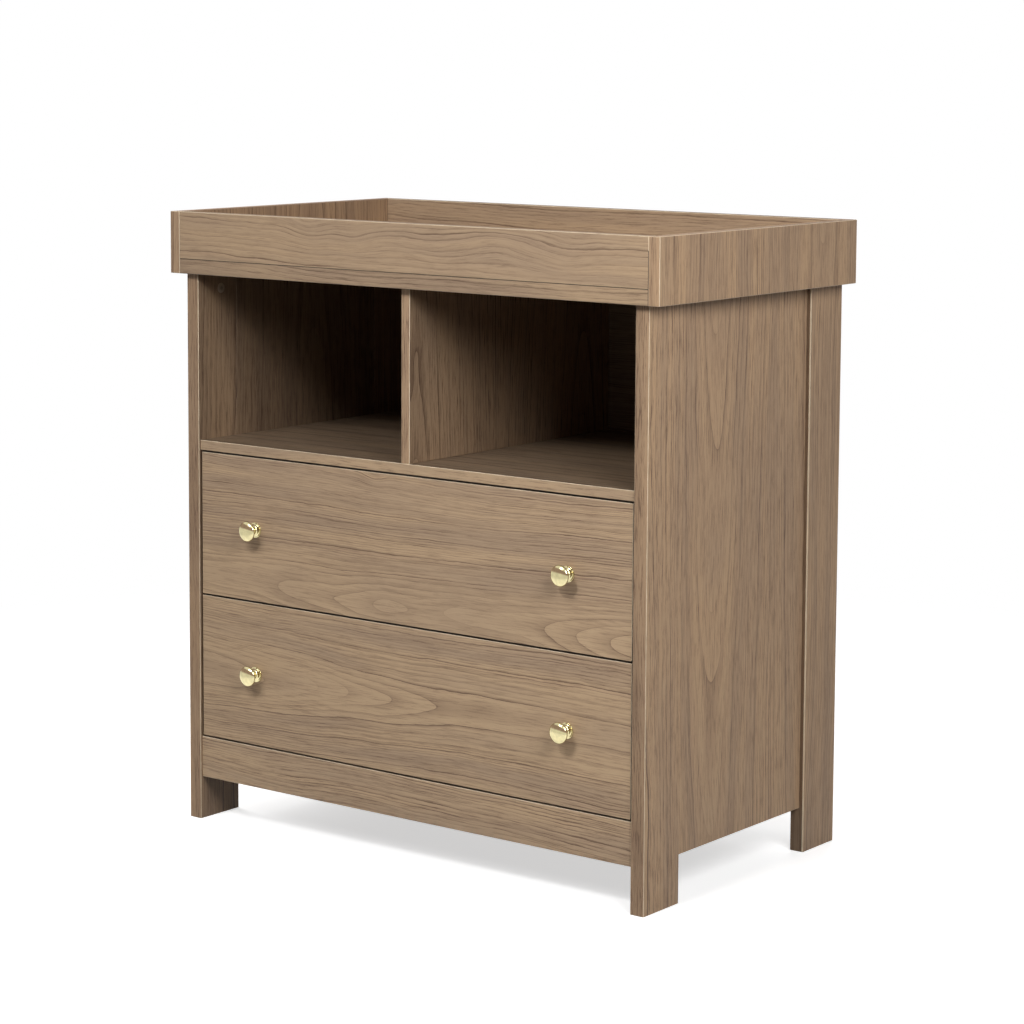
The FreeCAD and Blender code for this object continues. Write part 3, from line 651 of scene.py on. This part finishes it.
# Each screw: section, steps, the recess as above, and how far the head's top stands above the
# section's zero, in metres. Everything else here is in millimetres.
SMALL_SCREW = ([(0.0, -9.0), (0.7, -8.0), (1.5, -6.8), (1.5, 0.0), (3.0, 0.0), (3.2, 0.25),
                (3.05, 0.6), (2.6, 0.88), (2.1, 1.0)],
               28, (1.6, 0.28, 0.7), 0.001)
KNOB_SCREW = ([(0.0, -24.0), (1.7, -24.0), (2.0, -23.6), (2.0, 0.0), (3.8, 0.0), (4.0, 0.3),
               (4.0, 1.3), (3.5, 2.0), (2.7, 2.4)],
              32, (2.1, 0.38, 1.3), 0.0024)
LONG_SCREW = ([(0.0, -50.0), (1.2, -48.0), (2.2, -45.0), (2.2, -2.6), (4.3, -0.4), (4.6, 0.0),
               (4.5, 0.1)],
              32, (2.7, 0.45, 1.8), 0.0)

DOWEL = [(0.0, -15.0), (3.0, -15.0), (4.0, -13.8), (4.0, 13.8), (3.0, 15.0), (0.0, 15.0)]
DOWEL_STEPS = 32
DOWEL_FLUTE = 0.95
CAM_BOLT = [(0.0, 0.0), (1.4, 0.0), (3.0, 1.6)]
CAM_BOLT += [(3.0 if i % 2 else 2.4, 2.2 + i * 0.8) for i in range(11)]
CAM_BOLT += [(3.0, 10.8), (3.0, 12.2), (2.4, 12.6), (2.4, 30.6), (1.6, 31.2), (1.6, 34.4),
             (2.6, 35.0), (3.0, 36.0), (2.6, 37.4), (0.0, 38.0)]
CAM_BOLT_STEPS = 24
ROLLER_WIDTH = 6.8
ROLLER = [(2.1, 0.0), (3.6, 0.0), (3.8, 0.5), (5.5, 0.5), (5.8, 0.0), (6.5, 0.0), (6.9, 0.3),
          (7.0, 0.8)]
ROLLER += [(radius, ROLLER_WIDTH - height) for radius, height in reversed(ROLLER)] + [ROLLER[0]]
ROLLER_STEPS = 64


def middle(box):
    return (box[0] + box[1]) / 2


def longest(box):
    span = box[1] - box[0]
    return max(range(3), key=lambda axis: span[axis])


def facing(axis, sign):
    return tuple(sign if k == axis else 0 for k in range(3))


def inward(box, axis):
    """Towards the middle of the dresser along X and Y, and down along Z."""
    return facing(axis, -1 if axis == 2 or middle(box)[axis] > 0 else 1)


def end_of(box, direction):
    """The middle of the box's face that looks along the direction."""
    point = middle(box)
    axis = max(range(3), key=lambda k: abs(direction[k]))
    point[axis] = box[1][axis] if direction[axis] > 0 else box[0][axis]
    return point


def make_cams(name, node, body):
    """Round cams with a cross recess, a hair proud of the board, one piece for each length."""
    boxes = {}
    for box in solids(node):
        span = box[1] - box[0]
        axis = max(range(3), key=lambda k: abs(span[k] - CAM_ACROSS))
        boxes.setdefault(round(span[axis] * MM, 1), []).append((box, axis))
    for number, (deep, found) in enumerate(sorted(boxes.items())):
        section = [(0.0, -deep), (CAM_RADIUS, -deep)] + CAM_RIM
        places = []
        for box, axis in found:
            direction = inward(box, axis)
            places.append((end_of(box, direction), direction))
        cap = cross_capped(section, CAM_STEPS, *CAM_RECESS)
        piece = name if number == 0 else name + "_deep"
        made_of(piece, cap, places, CAM_METAL, "zinc", body, node)


def make_screws(name, node, body, direction_of, section, steps, recess, head):
    """Screws with a cross recess. direction_of says where the head of a box's screw faces."""
    places = []
    for box in solids(node):
        direction = Vector(direction_of(box))
        places.append((end_of(box, direction) - direction * head, direction))
    made_of(name, cross_capped(section, steps, *recess), places, ZINC, "zinc", body, node)


def outward(box):
    """Heads of the carcass's small screws: out of the back, or into the runner space."""
    axis = longest(box)
    return (0, 1, 0) if axis == 1 else inward(box, 0)


def under(box):
    return (0, 0, -1)


def behind(box):
    return (0, 1, 0)


def make_bolts(name, node, body):
    """Cam bolts, with the end that the cam holds towards the middle or the back."""
    places = []
    for box in solids(node):
        axis = longest(box)
        head = (0, 1, 0) if axis == 1 else inward(box, axis)
        start = end_of(box, [-c for c in head])
        places.append((start, head))
    made_of(name, revolve(CAM_BOLT, CAM_BOLT_STEPS), places, ZINC, "zinc", body, node)


def make_roller(node):
    box = solids(node)[0]
    places = [(end_of(box, (-1, 0, 0)), (1, 0, 0))]
    made_of(node + "_wheel", revolve(ROLLER, ROLLER_STEPS), places, NYLON, "nylon", node, node)


make_cams("carcass_cams", "cam_locks", "carcass")
make_bolts("carcass_cam_bolts", "cam_bolts", "carcass")
make_screws("carcass_small_screws", "small_screws", "carcass", outward, *SMALL_SCREW)
make_screws("carcass_long_screws", "long_screws", "carcass", under, *LONG_SCREW)
pegs = [(middle(box), facing(longest(box), 1)) for box in solids("dowels")]
made_of("carcass_dowels", revolve(DOWEL, DOWEL_STEPS, flute=DOWEL_FLUTE), pegs, BEECH, "beech",
        "carcass", "dowels")
for place in ("upper", "lower"):
    body = place + "_drawer"
    make_cams(body + "_cams", body + "_cam_locks", body)
    make_bolts(body + "_bolts", body + "_cam_bolts", body)
    make_screws(body + "_small_screws", body + "_screws", body, under, *SMALL_SCREW)
    make_screws(body + "_knob_fixings", body + "_knob_screws", body, behind, *KNOB_SCREW)
    for kind in ("_front_roller_", "_drawer_roller_"):
        for side in ("left", "right"):
            make_roller(place + kind + side)


# ---- floor and world ---------------------------------------------------------------------------
WHITE = (1.0, 1.0, 1.0, 1.0)
FLOOR_REACH = 60.0
SHADE_RADII = (0.6, 2.0)        # the floor shows shadow inside the first, and none past the second
FLOOR_GLOW = (0.60, 1.0)        # its glow to the camera and in gloss, inside and past them
FLOOR_TONE = (0.80, 0.0)        # its colour there, which takes the shadow
FLOOR_BOUNCE = 0.22             # its colour for the light that it throws back on the dresser
FILL = (0.03, 0.03, 0.03, 1.0)
DARK_ROOM = (0.44, 0.335, 0.34, 1.0)
ROOM = ((0.11, DARK_ROOM), (0.42, DARK_ROOM), (0.52, WHITE))    # over height, white below it


def make_floor():
    """Pale floor that keeps the dresser's shadow near it and is plain white further out."""
    mesh = bpy.data.meshes.new("floor")
    corners = [(FLOOR_REACH * x, FLOOR_REACH * y, 0)
               for x, y in ((-1, -1), (1, -1), (1, 1), (-1, 1))]
    mesh.from_pydata(corners, [], [(0, 1, 2, 3)])
    made = bpy.data.objects.new("floor", mesh)
    bpy.context.scene.collection.objects.link(made)
    g = Graph("pale_floor")
    x, y = g.place()[:2]
    away = g.calc("SQRT", g.add(g.mul(x, x), g.mul(y, y)))
    path = g.node("ShaderNodeLightPath")
    seen = g.calc("MAXIMUM", path.outputs["Is Camera Ray"], path.outputs["Is Glossy Ray"])
    glow = g.mul(g.ramp(away, *SHADE_RADII, *FLOOR_GLOW, smooth=True), seen)
    base = g.blend(seen, FLOOR_BOUNCE, g.ramp(away, *SHADE_RADII, *FLOOR_TONE, smooth=True))
    colour = g.node("ShaderNodeCombineColor")
    for socket in colour.inputs:
        g.feed(socket, base)
    g.shader.inputs["Emission Color"].default_value = WHITE
    g.finish(Base_Color=colour.outputs[0], Emission_Strength=glow, Roughness=0.9,
             Specular_IOR_Level=0.0)
    made.data.materials.append(g.material)


def make_world():
    """White to the camera. Gloss sees a white horizon, a dim brown room and a white ceiling, and
    the diffuse fill is faint, so that the open compartments stay dark."""
    world = bpy.data.worlds.new("studio")
    bpy.context.scene.world = world
    world.use_nodes = True
    w = Tree(world.node_tree)
    path = w.node("ShaderNodeLightPath")
    height = w.split(w.node("ShaderNodeTexCoord").outputs["Generated"])[2]
    room = w.node("ShaderNodeValToRGB")
    w.feed(room.inputs[0], height)
    stops = room.color_ramp.elements
    stops[0].color = WHITE
    for level, colour in ROOM:
        stops.new(level).color = colour
    unseen = w.mix(path.outputs["Is Glossy Ray"], FILL, room.outputs[0])
    sky = w.tree.nodes["Background"]
    w.feed(sky.inputs["Color"], w.mix(path.outputs["Is Camera Ray"], unseen, WHITE))
    sky.inputs["Strength"].default_value = 1.0


make_floor()
make_world()

# ---- lamps -------------------------------------------------------------------------------------
# name, place, aim, size in metres, power in watts, whether gloss mirrors it
LAMPS = (
    ("key", (0.28, -1.9, 2.1), (0.0, 0.0, 0.45), 0.38, 18.0, True),
    ("front", (-0.6, -4.0, 3.9), (0.0, 0.0, 0.5), 1.9, 82.0, True),
    ("right", (2.1, -1.2, 1.8), (0.2, -0.1, 0.5), 1.1, 42.5, True),
    ("left", (-2.6, 0.7, 1.3), (-0.2, 0.1, 0.5), 1.4, 52.0, False),
    ("back", (-1.3, 3.0, 1.3), (0.0, 0.0, 0.5), 1.4, 62.0, False),
)

for name, spot, aim, size, power, mirrored in LAMPS:
    light = bpy.data.lights.new(name, "AREA")
    light.shape = "SQUARE"
    light.size = size
    light.energy = power
    lamp = bpy.data.objects.new(name, light)
    bpy.context.scene.collection.objects.link(lamp)
    lamp.location = spot
    lamp.visible_glossy = mirrored
    lamp.rotation_euler = (Vector(aim) - Vector(spot)).to_track_quat("-Z", "Y").to_euler()

# ---- camera, fitted to the photo's edges -------------------------------------------------------
PHOTO = 1024                    # the photo's width and height in pixels
FOCAL = 2921.3                  # focal length in pixels
AHEAD = (484.6, 354.8)          # the pixel that the camera points at
SENSOR = 36.0                   # sensor width in millimetres
CAMERA_PLACE = (2.5842, -3.3981, 1.1691)
YAW = math.radians(37.659)
PITCH = math.radians(6.087)
ROLL = math.radians(0.248)

ahead = Vector((-math.sin(YAW) * math.cos(PITCH), math.cos(YAW) * math.cos(PITCH),
                -math.sin(PITCH)))
flat_right = Vector((math.cos(YAW), math.sin(YAW), 0.0))
flat_down = ahead.cross(flat_right)
right = flat_right * math.cos(ROLL) - flat_down * math.sin(ROLL)
down = flat_right * math.sin(ROLL) + flat_down * math.cos(ROLL)
camera_data = bpy.data.cameras.new("camera")
camera_data.sensor_width = SENSOR
camera_data.lens = FOCAL / PHOTO * SENSOR
camera_data.shift_x = (PHOTO / 2 - AHEAD[0]) / PHOTO
camera_data.shift_y = (AHEAD[1] - PHOTO / 2) / PHOTO
camera_data.clip_end = 200.0
camera = bpy.data.objects.new("camera", camera_data)
bpy.context.scene.collection.objects.link(camera)
turn = Matrix((right, -down, -ahead)).transposed().to_4x4()
camera.matrix_world = Matrix.Translation(CAMERA_PLACE) @ turn
bpy.context.scene.camera = camera
bpy.context.scene.view_settings.view_transform = "Standard"
